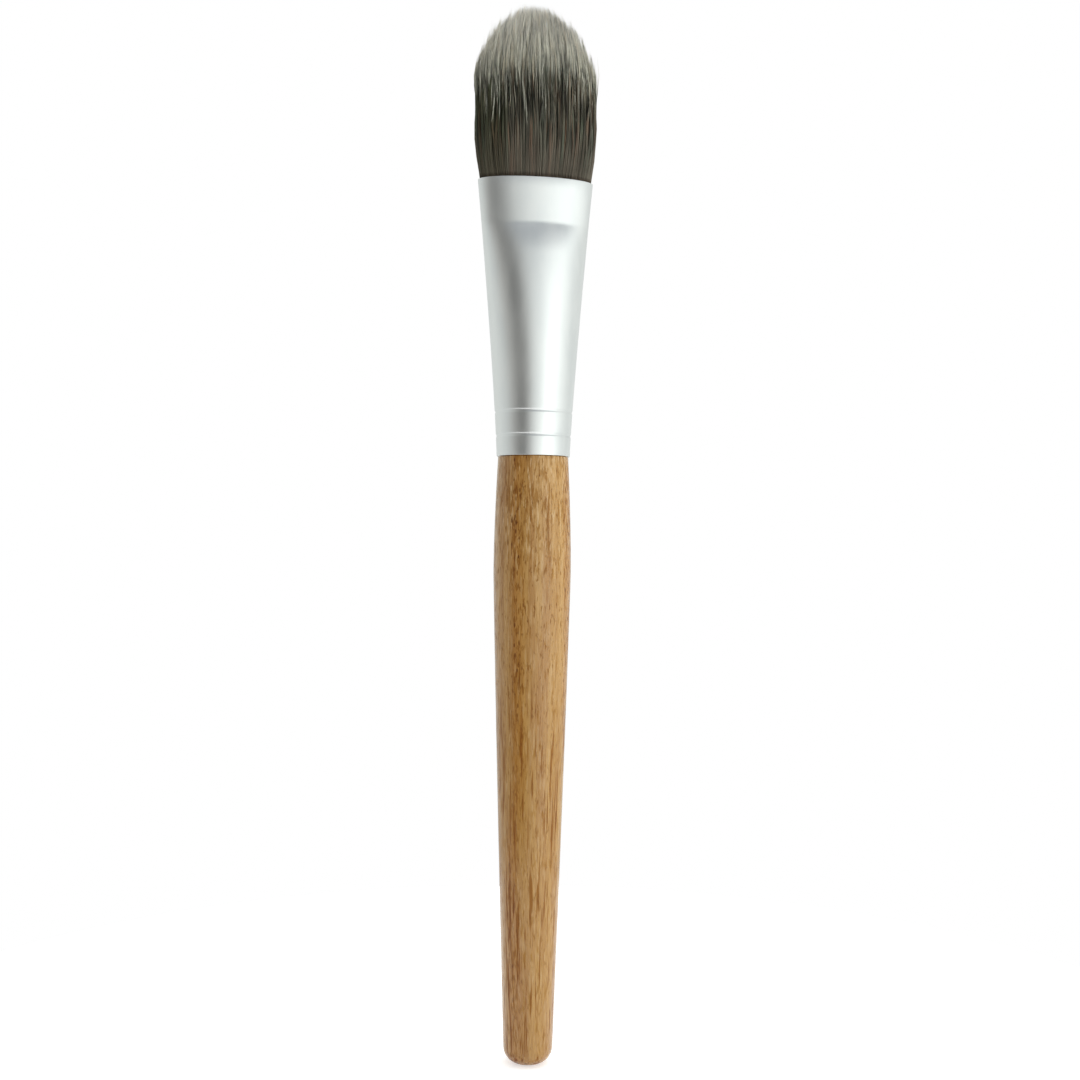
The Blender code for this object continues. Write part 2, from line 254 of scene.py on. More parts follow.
def handle_profile():
    """(radius, height) pairs in millimetres, from the filleted butt to the hidden tenon's end."""
    centre = BUTT_RADIUS - BUTT_FILLET
    points = []
    for step in range(ROUNDING_STEPS + 1):
        angle = QUARTER_TURN * (1 - step / ROUNDING_STEPS)
        points.append((centre + BUTT_FILLET * math.cos(angle), BUTT_FILLET * (1 - math.sin(angle))))
    for step in range(1, TAPER_STEPS + 1):
        share = step / TAPER_STEPS
        swell = 1 - (1 - share) ** TAPER_POWER
        radius = blend(BUTT_RADIUS, BELLY_RADIUS, swell)
        points.append((radius, blend(BUTT_FILLET, BELLY_HEIGHT, share)))
    neck = HANDLE_LENGTH - SHOULDER_ROUND
    for step in range(1, NECK_STEPS + 1):
        share = step / NECK_STEPS
        swell = math.sin(QUARTER_TURN * (1 - share))
        radius = blend(NECK_RADIUS, BELLY_RADIUS, swell)
        points.append((radius, blend(BELLY_HEIGHT, neck, share)))
    for step in range(1, ROUNDING_STEPS + 1):
        angle = QUARTER_TURN * step / ROUNDING_STEPS
        inwards = SHOULDER_ROUND * (1 - math.cos(angle))
        points.append((NECK_RADIUS - inwards, neck + SHOULDER_ROUND * math.sin(angle)))
    top = (TENON_TOP - BUTT_HEIGHT) / MM
    points.append((TENON_RADIUS, HANDLE_LENGTH))
    points.append((TENON_RADIUS, top - TENON_CHAMFER))
    points.append((TENON_RADIUS - TENON_CHAMFER, top))
    return points


def build_handle():
    sections = [
        (radius * MM, radius * MM, BUTT_HEIGHT + height * MM) for radius, height in handle_profile()
    ]
    return close_up(draw_up("turned_handle", sections, HANDLE_SIDES))


# ---- Ferrule ----


def ferrule_half_width(height):
    return blend(RIM_RADIUS, MOUTH_HALF_WIDTH, (max(height, 0) / FERRULE_LENGTH) ** FLARE_POWER)


def ferrule_half_depth(height):
    """Round at first, slowly flatter up to the ramp's foot, then pressed in up to the band.

    The mean over a short stretch rounds the creases.
    """
    near = height + np.linspace(-CREASE_HALF_LENGTH, CREASE_HALF_LENGTH, CREASE_SAMPLES)
    flattening = (share_of(near, ROUND_LENGTH, RAMP_START) ** FLATTEN_POWER).mean()
    climb = share_of(near, RAMP_START, BAND_START)
    pressing = (climb * blend(RAMP_FOOT_SLOPE, 1, climb)).mean()
    body = blend(ferrule_half_width(height), RAMP_HALF_DEPTH, flattening)
    return blend(body, BAND_HALF_DEPTH, pressing)


def ferrule_section(height, inset):
    """Half width, half depth and height in metres, a little inside the ferrule's outer face."""
    half_width = ferrule_half_width(height) - inset
    half_depth = ferrule_half_depth(height) - inset
    return half_width * MM, half_depth * MM, RIM_HEIGHT + height * MM


def ferrule_stations():
    """(height, inset) pairs from the rim to the mouth, with round crimps and rounded lips."""
    stations = [(0.0, LIP_ROUND), (LIP_MIDDLE, LIP_MIDDLE), (LIP_ROUND, 0.0)]
    start = LIP_ROUND
    for middle in CRIMP_HEIGHTS:
        stations.append((blend(start, middle - CRIMP_WIDTH / 2, 0.5), 0.0))
        for step in range(CRIMP_STEPS + 1):
            share = step / CRIMP_STEPS
            dip = CRIMP_DEPTH * math.sin(math.pi * share) ** 2
            stations.append((middle + CRIMP_WIDTH * (share - 0.5), dip))
        start = middle + CRIMP_WIDTH / 2
    stations.append((ROUND_LENGTH, 0.0))
    below, above = BAND_START - CREASE_HALF_LENGTH, BAND_START + CREASE_HALF_LENGTH
    for low, high, steps in (
        (ROUND_LENGTH, RAMP_START, BODY_STEPS),
        (RAMP_START, below, RAMP_STEPS),
        (below, above, CREASE_STEPS),
        (above, FERRULE_LENGTH - LIP_ROUND, BAND_STEPS),
    ):
        stations += [(height, 0.0) for height in np.linspace(low, high, steps + 1)[1:]]
    stations.append((FERRULE_LENGTH - LIP_MIDDLE, LIP_MIDDLE))
    stations.append((FERRULE_LENGTH, LIP_ROUND))
    return stations


def build_ferrule():
    sections = [ferrule_section(height, inset) for height, inset in ferrule_stations()]
    piece = draw_up("satin_ferrule", sections, FERRULE_SIDES, "NOTHING")
    close_up(piece, FERRULE_SHARP_ANGLE)
    wall = {"thickness": FERRULE_WALL * MM, "offset": -1, "use_even_offset": True, "use_rim": True}
    finish_modifier(piece, "SOLIDIFY", **wall)
    return piece


# ---- Tuft ----


def dome(height, start, power):
    """1 below start, closing to 0 at the tip of the tuft."""
    return (1 - share_of(height, start, TUFT_LENGTH) ** power) ** (1 / power)


def domes(height):
    """How the tuft's width and its depth close up towards the tip."""
    width_dome = dome(height, WIDTH_DOME_START, WIDTH_DOME_POWER)
    depth_dome = dome(height, DEEPEST_HEIGHT, DEPTH_DOME_POWER)
    return width_dome, depth_dome


def bundle_reach(height):
    """Half width and half depth of the bundle of filaments before the dome cuts it."""
    inset = LIP_ROUND + FERRULE_WALL + MOUTH_CLEARANCE
    mouth_width = MOUTH_HALF_WIDTH - inset
    mouth_depth = BAND_HALF_DEPTH - inset
    closing = np.exp(-np.maximum(height, 0) / SPREAD_WIDTH_HEIGHT)
    width = TUFT_HALF_WIDTH - (TUFT_HALF_WIDTH - mouth_width) * closing
    width = width + NARROWING_BELOW_MOUTH * np.minimum(height, 0)
    opening = np.sin(QUARTER_TURN * share_of(height, 0, DEEPEST_HEIGHT))
    depth = blend(mouth_depth, TUFT_HALF_DEPTH, opening)
    width_dome, depth_dome = domes(height)
    width = width * (1 - CONVERGE_WIDTH * (1 - width_dome))
    depth = depth * (1 - CONVERGE_DEPTH * (1 - depth_dome))
    return width, depth


def tip_heights(across, through):
    """Heights at which filaments at these shares of the half sizes meet the rounded outline."""
    low = np.zeros(len(across))
    high = np.full(len(across), TUFT_LENGTH)
    for _ in range(TIP_SEARCH_STEPS):
        middle = (low + high) / 2
        width, depth = bundle_reach(middle)
        width_dome, depth_dome = domes(middle)
        across_share = across * width / (TUFT_HALF_WIDTH * width_dome + LEAST_REACH)
        through_share = through * depth / (TUFT_HALF_DEPTH * depth_dome + LEAST_REACH)
        inside = across_share**2 + through_share**2 < 1
        low = np.where(inside, middle, low)
        high = np.where(inside, high, middle)
    return low


def even_places(count):
    """Evenly scattered places over the ferrule's opening, as shares of its half sizes.

    Steps of the plastic number's inverse powers fill a square evenly, and the circle in it is kept.
    """
    index = np.arange(int(count * PLACES_PER_COUNT) + SPARE_PLACES)
    columns = [(0.5 + index / PLASTIC_NUMBER**power) % 1 for power in (1, 2)]
    places = 2 * np.column_stack(columns) - 1
    return places[(places**2).sum(1) < 1][:count]


def nearest(places, middles):
    """Which middle each place is nearest to, in millimetres across the ferrule's opening."""
    sizes = np.array(bundle_reach(np.zeros(1)))[:, 0]
    chosen = np.empty(len(places), int)
    for start in range(0, len(places), PLACES_AT_ONCE):
        part = slice(start, start + PLACES_AT_ONCE)
        away = (places[part, None] - middles[None]) * sizes
        chosen[part] = np.argmin((away**2).sum(2), 1)
    return chosen


def tuft_filaments():
    """Every filament's place at the mouth, tip height, turn, lean, wave, draw-in and tone.

    Filaments gather in strands, which share a tone and a wave, and strands in locks, which lean
    together. The order of the random draws is part of the shape.
    """
    rng = np.random.default_rng(TUFT_SEED)
    places = even_places(FILAMENT_COUNT)
    count = len(places)
    strand_middles = even_places(STRAND_COUNT) + rng.normal(0, STRAND_SCATTER, (STRAND_COUNT, 2))
    strand = nearest(places, strand_middles)
    lock = nearest(strand_middles, even_places(LOCK_COUNT))[strand]
    lean = rng.normal(0, LOCK_LEAN, (LOCK_COUNT, 2))[lock]
    lean = lean + rng.normal(0, STRAND_LEAN, (STRAND_COUNT, 2))[strand]
    lean = (lean + rng.normal(0, FILAMENT_LEAN, (count, 2))) * FLAT_SHARES + (TUFT_LEAN, 0)
    tone = rng.uniform(*TONES, STRAND_COUNT)[strand] + rng.normal(0, FILAMENT_TONE, count)
    stray = rng.random(count) < STRAY_SHARE
    lean[stray] += rng.normal(0, STRAY_LEAN, (stray.sum(), 2)) * STRAY_FLAT_SHARES
    tone[stray] = rng.uniform(*TONES, stray.sum())
    lift = rng.normal(0, LOCK_LIFT, LOCK_COUNT)[lock]
    lift = lift + rng.normal(0, STRAND_LIFT, STRAND_COUNT)[strand]
    tips = tip_heights(places[:, 0], places[:, 1]) + lift + rng.normal(0, FILAMENT_LIFT, count)
    pull = rng.uniform(*DRAW_IN_SHARES, STRAND_COUNT)[strand, None] * DRAW_IN
    return {
        "places": places,
        "tips": np.minimum(tips, HIGHEST_TIP),
        "turns": rng.uniform(0, FULL_TURN, count),
        "lean": lean,
        "pull": (strand_middles[strand] - places) * pull,
        "wave": rng.normal(0, WAVE_SIZE, (STRAND_COUNT, 2))[strand] * FLAT_SHARES,
        "wave_start": rng.uniform(0, FULL_TURN, STRAND_COUNT)[strand],
        "wave_length": rng.uniform(*WAVE_LENGTHS, STRAND_COUNT)[strand],
        "tone": np.clip(tone, 0, HIGHEST_TONE),
    }


def filament_pattern():
    """Points and triangles of one filament of unit radius and length."""
    sections = [(radius, radius, level) for radius, level in zip(FILAMENT_TAPER, FILAMENT_LEVELS)]
    piece = draw_up("filament_pattern", sections, FILAMENT_SIDES)
    bpy.ops.mesh.merge(type="CENTER")
    bpy.ops.mesh.select_all(action="SELECT")
    bpy.ops.mesh.quads_convert_to_tris()
    bpy.ops.mesh.normals_make_consistent(inside=False)
    put_away()
    points = np.array([vert.co for vert in piece.data.vertices])
    faces = np.array([face.vertices[:] for face in piece.data.polygons])
    bpy.data.objects.remove(piece)
    return points, faces


def filament_mesh(name, places, corners, spots):
    """A smooth mesh of triangles, with a spot on its map for each corner."""
    mesh = bpy.data.meshes.new(name)
    mesh.vertices.add(len(places))
    mesh.vertices.foreach_set("co", places.astype(np.float32).ravel())
    mesh.loops.add(corners.size)
    mesh.loops.foreach_set("vertex_index", corners.astype(np.int32).ravel())
    mesh.polygons.add(len(corners))
    mesh.polygons.foreach_set("loop_start", np.arange(0, corners.size, 3, dtype=np.int32))
    mesh.update(calc_edges=True)
    mesh.shade_smooth()
    layer = mesh.uv_layers.new(name=TONE_MAP)
    layer.uv.foreach_set("vector", spots.astype(np.float32).ravel())
    return mesh


def lay_filaments(name, pattern, filaments, chosen):
    """Lays a copy of the pattern along the path of each chosen filament, all in one piece."""
    points, faces = pattern
    kept = {key: values[chosen] for key, values in filaments.items()}
    places, lean, pull, wave = (kept[key] for key in ("places", "lean", "pull", "wave"))
    tips, turns, tone = (kept[key][:, None] for key in ("tips", "turns", "tone"))
    wave_start, wave_length = (kept[key][:, None] for key in ("wave_start", "wave_length"))
    height = ROOT_TOP + points[:, 2][None] * (tips - ROOT_TOP)
    drawn = np.sin(QUARTER_TURN * share_of(height, DRAW_START, DRAW_PEAK))
    drawn = drawn * (1 - (1 - DRAW_AT_TIP) * share_of(height, DRAW_PEAK, TUFT_LENGTH))
    bent = share_of(height, LEAN_START, TUFT_LENGTH) ** LEAN_POWER
    swing = np.sin(wave_start + FULL_TURN * height / wave_length)
    swing = swing * share_of(height, 0, WAVE_FULL_HEIGHT)

    def path_along(axis, reach):
        start, inwards, side, sway = (values[:, [axis]] for values in (places, pull, lean, wave))
        return (start + inwards * drawn) * reach + side * bent + sway * swing

    width, depth = bundle_reach(height)
    x, y = path_along(0, width), path_along(1, depth)
    cos, sin = np.cos(turns), np.sin(turns)
    x = x + FILAMENT_RADIUS * (cos * points[:, 0] - sin * points[:, 1])
    y = y + FILAMENT_RADIUS * (sin * points[:, 0] + cos * points[:, 1])
    spread = np.stack([x * MM, y * MM, MOUTH_HEIGHT + height * MM], 2).reshape(-1, 3)
    first_points = np.arange(len(places)) * len(points)
    corners = (faces[None] + first_points[:, None, None]).reshape(-1, 3)
    side = (np.arctan2(points[:, 1], points[:, 0]) / FULL_TURN) % 1
    across = tone + side[None] * TONE_STRIP
    up = (height - MAP_LOW) / (MAP_HIGH - MAP_LOW)
    spots = np.stack([across, up], 2).reshape(-1, 2)[corners.ravel()]
    piece = bpy.data.objects.new(name, filament_mesh(name, spread, corners, spots))
    bpy.context.scene.collection.objects.link(piece)
    return piece


def build_root():
    """The bonded root inside the ferrule, from which the filaments rise."""
    levels = np.linspace(FERRULE_LENGTH - ROOT_DEPTH, FERRULE_LENGTH + ROOT_TOP, ROOT_LEVELS)
    sections = [ferrule_section(height, ROOT_CLEARANCE) for height in levels]
    return close_up(draw_up("bonded_root", sections, ROOT_SIDES))


# ---- Shader maths ----

# Sockets of a Mix node that mixes colours
MIX_SHARE = 0
MIX_FIRST = 6
MIX_SECOND = 7
MIX_RESULT = 2

NOISE_MEAN = 0.5
SOFT_NOISE = (0.35, 0.65)
WHITE = (1, 1, 1, 1)


def greys(levels):
    """A grey for each of these levels."""
    return [(level, level, level) for level in levels]


def with_alpha(colour):
    return (*colour, 1) if isinstance(colour, tuple) else colour


class Value:
    """A socket that takes Python's arithmetic and adds the Math nodes for it."""

    def __init__(self, graph, socket):
        self.graph = graph
        self.socket = socket

    def __add__(self, other):
        return self.graph.math("ADD", self, other)

    def __sub__(self, other):
        return self.graph.math("SUBTRACT", self, other)

    def __rsub__(self, other):
        return self.graph.math("SUBTRACT", other, self)

    def __mul__(self, other):
        return self.graph.math("MULTIPLY", self, other)

    def __truediv__(self, other):
        return self.graph.math("DIVIDE", self, other)

    def __rtruediv__(self, other):
        return self.graph.math("DIVIDE", other, self)

    __radd__ = __add__
    __rmul__ = __mul__


class Graph:
    """The nodes of one material or world."""

    def __init__(self, owner):
        owner.use_nodes = True
        self.owner = owner
        self.tree = owner.node_tree
        self.tree.nodes.clear()

    def add(self, kind, settings=None, inputs=None, output=0):
        """Adds a node and returns one output; its settings come before its sockets."""
        node = self.tree.nodes.new(kind)
        for name, value in (settings or {}).items():
            if name == "stops":
                self.set_stops(node.color_ramp, value)
            else:
                setattr(node, name, value)
        for name, value in (inputs or {}).items():
            if isinstance(value, Value):
                self.tree.links.new(value.socket, node.inputs[name])
            else:
                node.inputs[name].default_value = value
        if len(node.outputs):
            return Value(self, node.outputs[output])
        return None

    def set_stops(self, ramp, stops):
        """Stops are (position, colour) pairs, lowest first."""
        while len(ramp.elements) < len(stops):
            ramp.elements.new(1)
        for element, (position, colour) in zip(ramp.elements, stops):
            element.position = position
            element.color = (*colour, 1)

    def math(self, operation, *values, clamp=False):
        settings = {"operation": operation, "use_clamp": clamp}
        return self.add("ShaderNodeMath", settings, dict(enumerate(values)))

    def most(self, first, *others):
        """The highest of these values."""
        for other in others:
            first = self.math("MAXIMUM", first, other)
        return first

    def split(self, vector):
        first = self.add("ShaderNodeSeparateXYZ", None, {"Vector": vector})
        return tuple(Value(self, output) for output in first.socket.node.outputs)

    def join(self, x, y, z):
        return self.add("ShaderNodeCombineXYZ", None, {0: x, 1: y, 2: z})

    def step(self, value, edges, levels=(0.0, 1.0)):
        """A soft step from one level to another as a value goes from the low to the high edge."""
        inputs = {"Value": value}
        inputs["From Min"], inputs["From Max"] = edges
        inputs["To Min"], inputs["To Max"] = levels
        return self.add("ShaderNodeMapRange", {"interpolation_type": "SMOOTHSTEP"}, inputs)

    def fall(self, value, edges):
        """1 below the low edge, softly down to 0 above the high one."""
        return self.step(value, edges, (1.0, 0.0))

    def between(self, value, rise, fall):
        """1 between two pairs of edges, and softly down to 0 on both sides."""
        return self.step(value, rise) * self.fall(value, fall)

    def level(self, mask, levels):
        """A level that goes straight from one to another as a mask goes from 0 to 1."""
        low, high = levels
        return mask * (high - low) + low

    def mix(self, share, first, second, kind="MIX"):
        """A colour between two colours."""
        settings = {"data_type": "RGBA", "blend_type": kind}
        inputs = {
            MIX_SHARE: share,
            MIX_FIRST: with_alpha(first),
            MIX_SECOND: with_alpha(second),
        }
        return self.add("ShaderNodeMix", settings, inputs, output=MIX_RESULT)

    def tint(self, share, base, colour):
        """A colour multiplied by another, by a share."""
        return self.mix(share, base, colour, "MULTIPLY")

    def place(self, stretch=(1.0, 1.0, 1.0), shift=(0.0, 0.0, 0.0)):
        """The place on the piece in millimetres, stretched along each axis and then shifted."""
        place = self.add("ShaderNodeTexCoord", output="Object")
        scale = tuple(factor / MM for factor in stretch)
        return self.add(
            "ShaderNodeMapping", None, {"Vector": place, "Location": shift, "Scale": scale}
        )

    def noise(self, place, detail, roughness=0.5):
        inputs = {"Vector": place, "Scale": 1.0, "Detail": detail, "Roughness": roughness}
        return self.add("ShaderNodeTexNoise", None, inputs, output="Fac")

    def grain(self, stretch, shift=(0.0, 0.0, 0.0), detail=2.0, roughness=0.5):
        """Noise over the piece, fine where it is stretched much."""
        return self.noise(self.place(stretch, shift), detail, roughness)

    def cells(self, place, output):
        inputs = {"Vector": place, "Scale": 1.0, "Randomness": 1.0}
        return self.add("ShaderNodeTexVoronoi", None, inputs, output=output)

    def seen_by(self, *rays):
        """1 for these two kinds of ray and 0 for the others."""
        shares = [self.add("ShaderNodeLightPath", output=ray) for ray in rays]
        return self.math("ADD", *shares, clamp=True)

    def bump(self, height, distance, strength):
        """A relief, with the distance in millimetres."""
        inputs = {"Height": height, "Distance": distance * MM, "Strength": strength}
        return self.add("ShaderNodeBump", None, inputs)

    def finish(self, **inputs):
        """Ends a material in one Principled shader; underscores stand for its names' spaces."""
        named = {name.replace("_", " "): value for name, value in inputs.items()}
        shader = self.add("ShaderNodeBsdfPrincipled", None, named)
        self.add("ShaderNodeOutputMaterial", None, {"Surface": shader})
        return self.owner


def new_material(name):
    """The empty graph of a new material."""
    return Graph(bpy.data.materials.new(name))


# ---- Wood ----

# Years' rings, as wavy sheets through the handle, in millimetres
YEAR_WIDTH = 9.0
YEAR_SHIFT = 4.3
YEAR_WANDER = 3.0
YEAR_ACROSS = 0.98
YEAR_THROUGH = 0.19
POROUS_RISE = (0.06, 0.15)
POROUS_FALL = (0.22, 0.42)

# Parts of the handle, in millimetres up or across from the grip's middle
UPPER_PART = (-4.0, 7.0)
LOWER_PART = (-30.0, -14.0)
# across the handle, from painted shade on the left to painted light on the right
PAINTED_LIGHT_ACROSS = (-5.0, 5.0)

# Ground colours, and what each marking, painted shade or painted light multiplies them by
DEEP_TAN = (0.475, 0.224, 0.047)
LIGHT_TAN = (0.605, 0.333, 0.098)
POROUS_TAN = (0.55, 0.245, 0.042)
FLECK_TAN = (0.79, 0.54, 0.28)
# painted shade: the lower part darker and less blue, against the floor's reflected glow
LOWER_PAINTED_SHADE_TINT = (0.93, 0.88, 0.66)
# painted shade on the handle's left side and painted light with a bluish sheen on its right
WOOD_LEFT_PAINTED_SHADE_TINT = (0.96, 0.95, 0.94)
WOOD_RIGHT_PAINTED_LIGHT_TINT = (1.09, 1.1, 1.13)
FIBRE_TINT = (0.76, 0.66, 0.42)
LINE_TINT = (0.62, 0.46, 0.22)
STREAK_TINT = (0.56, 0.43, 0.2)
DASH_TINT = (0.55, 0.42, 0.2)
PORE_TINT = (0.42, 0.29, 0.11)

# Where a marking's noise turns from ground to marking
BAND_EDGES = (0.34, 0.66)
FIBRE_EDGES = (0.42, 0.64)
FLECK_EDGES = (0.53, 0.68)
STREAK_EDGES = (0.55, 0.66)
DASH_EDGES = (0.58, 0.68)
LINE_EDGES = (0.54, 0.65)
PORE_SIZE_EDGES = (0.65, 1.4)
PORE_SIZES = (0.05, 0.36)
PORE_RIM = (0.5, 1.0)

# How much the porous part of a year, or the upper part of the handle, adds to a marking's noise
STREAK_CROWDING = 0.03
STREAK_GAIN_ABOVE = 0.05
DASH_CROWDING = 0.075
LINE_CROWDING = 0.04
PORE_CROWDING = 0.55

# How strongly a marking colours the wood; pairs are at a mask's 0 and at its 1
POROUS_SHARE = 0.5
# how strongly the painted shade on the lower part shows
LOWER_PAINTED_SHADE_SHARE = 0.8
FIBRE_SHARES = (0.0, 0.5)
FLECK_SHARES = (0.22, 0.62)
STREAK_SHARES = (0.35, 0.6)
DASH_SHARE = 0.8
DASH_SHARES_LOWER = (1.0, 0.6)
LINE_SHARE = 0.9
LINE_SHARES_LOWER = (0.3, 1.0)
PORE_SHARES = (0.5, 1.0)
PORE_SHARES_LOWER = (1.0, 0.5)

# Relief and sheen
FIBRE_RELIEF = 0.3
PORE_RELIEF = 0.7
LINE_RELIEF = 0.3
DASH_RELIEF = 0.3
PORE_MATTNESS = 0.5
WOOD_SHEEN_EDGES = (0.3, 0.9)
WOOD_ROUGHNESS = (0.42, 0.58)
OIL_COAT = 0.9
OIL_LOST_IN_MARKS = 0.75


def oiled_wood():
    """Tan ring-porous wood with a satin coat of oil, which thins in the markings.

    Dashes and pores crowd along each year's ring, streaks and pale flecks on the upper part and
    long thin lines on the lower one. Fibre runs everywhere. Painted shade darkens the left side and
    the lower part, and painted light brightens the right side.
    """
    g = new_material("oiled wood")
    x, y, z = g.split(g.place())
    wander = g.grain(stretch=(0.08, 0.08, 0.035), shift=(3.0, 8.0, 0.0), detail=1.0) - NOISE_MEAN
    ring = x * YEAR_ACROSS - y * YEAR_THROUGH + wander * YEAR_WANDER
    year = g.math("FRACT", (ring + YEAR_SHIFT) / YEAR_WIDTH)
    porous = g.between(year, POROUS_RISE, POROUS_FALL)
    upper = g.step(z, UPPER_PART)
    lower = g.fall(z, LOWER_PART)

    bands = g.grain(stretch=(0.5, 0.5, 0.02), detail=3.0, roughness=0.55)
    fibre = g.grain(stretch=(4.2, 4.2, 0.3), shift=(3.0, 1.0, 0.0), roughness=0.6)
    flecks = g.grain(stretch=(2.7, 2.7, 0.33), shift=(5.0, 5.0, 2.0))
    flecks = g.step(flecks, FLECK_EDGES) * g.level(upper, FLECK_SHARES)
    colour = g.mix(g.step(bands, BAND_EDGES), DEEP_TAN, LIGHT_TAN)
    colour = g.mix(porous * POROUS_SHARE, colour, POROUS_TAN)
    # painted shade on the lower part of the handle
    colour = g.tint(lower * LOWER_PAINTED_SHADE_SHARE, colour, LOWER_PAINTED_SHADE_TINT)
    # painted shade to the left and painted light to the right, across the handle
    colour = g.tint(1.0, colour, g.mix(g.step(x, PAINTED_LIGHT_ACROSS), WOOD_LEFT_PAINTED_SHADE_TINT, WOOD_RIGHT_PAINTED_LIGHT_TINT))
    colour = g.tint(g.step(fibre, FIBRE_EDGES, FIBRE_SHARES), colour, FIBRE_TINT)
    colour = g.mix(flecks, colour, FLECK_TAN)

    streaks = g.grain(stretch=(2.3, 2.3, 0.32), shift=(2.0, 0.0, 6.0), detail=3.0, roughness=0.6)
    streaks = streaks + porous * STREAK_CROWDING + upper * STREAK_GAIN_ABOVE
    streaks = g.step(streaks, STREAK_EDGES)
    dashes = g.grain(stretch=(3.1, 3.1, 0.62), shift=(8.0, 3.0, 1.0), roughness=0.6)
    dashes = g.step(dashes + porous * DASH_CROWDING, DASH_EDGES)
    dashes = dashes * g.level(lower, DASH_SHARES_LOWER)
    lines = g.grain(stretch=(2.1, 2.1, 0.08), shift=(1.0, 4.0, 9.0), roughness=0.55)
    lines = g.step(lines + porous * LINE_CROWDING, LINE_EDGES)
    lines = lines * g.level(lower, LINE_SHARES_LOWER)
    place = g.place(stretch=(1.6, 1.6, 0.65), shift=(0.0, 0.0, 2.0))
    chance, strength, _ = g.split(g.cells(place, "Color"))
    size = g.step(chance + porous * PORE_CROWDING, PORE_SIZE_EDGES, PORE_SIZES)
    pores = g.fall(g.cells(place, "Distance") / size, PORE_RIM) * g.level(strength, PORE_SHARES)
    pores = pores * g.level(lower, PORE_SHARES_LOWER)

    colour = g.tint(lines * LINE_SHARE, colour, LINE_TINT)
    colour = g.tint(streaks * g.level(upper, STREAK_SHARES), colour, STREAK_TINT)
    colour = g.tint(dashes * DASH_SHARE, colour, DASH_TINT)
    colour = g.tint(pores, colour, PORE_TINT)
    relief = fibre * FIBRE_RELIEF - pores * PORE_RELIEF
    relief = relief - lines * LINE_RELIEF - dashes * DASH_RELIEF
    marks = g.most(pores, dashes, g.most(streaks, lines))
    return g.finish(
        Base_Color=colour,
        Roughness=g.step(fibre + pores * PORE_MATTNESS, WOOD_SHEEN_EDGES, WOOD_ROUGHNESS),
        Specular_IOR_Level=0.2,
        Coat_Weight=OIL_COAT - marks * OIL_LOST_IN_MARKS,
        Coat_Roughness=0.2,
        Coat_IOR=1.6,
        Normal=g.bump(relief, distance=0.05, strength=0.5),
    )


# ---- Aluminium ----

DEEP_METAL = (0.775, 0.785, 0.785)
PALE_METAL = (0.825, 0.83, 0.825)
TURNING_RELIEF = 0.3
GRAIN_RELIEF = 0.4
GRAIN_MATTNESS = 0.3
METAL_SHEEN_EDGES = (0.45, 0.85)
METAL_ROUGHNESS = (0.32, 0.38)
BAND_ROUGHER = 0.07
BAND_EDGE_HALF = 1.0


def satin_aluminium():
    """Satin aluminium, softly cloudy, with a very faint drawn grain round the tube.

    The pressed band at the mouth is a little rougher.
    """
    g = new_material("satin aluminium")
    turning = g.grain(stretch=(0.05, 0.05, 5.0))
    grain = g.grain(stretch=(6.0, 6.0, 6.0))
    cloud = g.grain(stretch=(0.3, 0.3, 0.1), shift=(2.0, 5.0, 1.0), detail=3.0)
    _, _, z = g.split(g.place())
    crease = RIM_HEIGHT / MM + BAND_START
    band = g.step(z, (crease - BAND_EDGE_HALF, crease + BAND_EDGE_HALF))
    rough = g.step(cloud + grain * GRAIN_MATTNESS, METAL_SHEEN_EDGES, METAL_ROUGHNESS)
    relief = turning * TURNING_RELIEF + grain * GRAIN_RELIEF
    return g.finish(
        Base_Color=g.mix(g.step(cloud, SOFT_NOISE), DEEP_METAL, PALE_METAL),
        Metallic=1.0,
        Roughness=rough + band * BAND_ROUGHER,
        Normal=g.bump(relief, distance=0.002, strength=0.4),
    )


# ---- Filament ----

# Noise over the strands: its pace from tone to tone and up a filament, and a row of its own
LINE_NOISE = (230.0, 0.0, 3.0)
SHADE_NOISE = (250.0, 0.1, 9.0)
HUE_NOISE = (170.0, 0.08, 17.0)
STRAY_NOISE = (190.0, 0.0, 31.0)

# The dye line, in millimetres above the ferrule's mouth
LINE_HEIGHT = 18.8
LINE_SPREAD = 30.0
LINE_TILT = -0.03
LINE_EDGE_DROP = 0.026
LINE_STRAY_DROP = 6.0
LINE_SOFTNESS = (-0.9, 0.9)

# Parts of the tuft, in millimetres up from its mouth or across from its middle
ABOVE_ROOT = (1.0, 11.0)
# where the dark half is darkest below the pale half: partly dye, partly painted shade
DARKER_DYE_AND_SHADE_PART = (8.0, 14.0)
CONTRAST_PART = (2.0, 13.0)
# where a painted shadow darkens the roots just above the ferrule's mouth
MOUTH_PAINTED_SHADOW_PART = (0.3, 0.9)
TIP_PART = (17.0, 27.0)
# where painted shade darkens the tuft's left edge
TUFT_LEFT_EDGE_PAINTED_SHADE_PART = (-6.6, -4.8)
# where painted light brightens the tuft's right side
TUFT_RIGHT_PAINTED_LIGHT_PART = (1.5, 4.5)

# Where the noise over the strands makes them stray, warmer, cooler, or brighter
STRAY_STRANDS = (0.5, 0.64)
WARMER_STRANDS = (0.52, 0.7)
COOLER_STRANDS = (0.3, 0.48)
BRIGHTER_DARK_STRANDS = (0.34, 0.68)
BRIGHTER_PALE_STRANDS = (0.3, 0.6)

# Colours of the dyed and the pale half, and what multiplies them
DARK_AT_ROOT = (0.17, 0.145, 0.112)
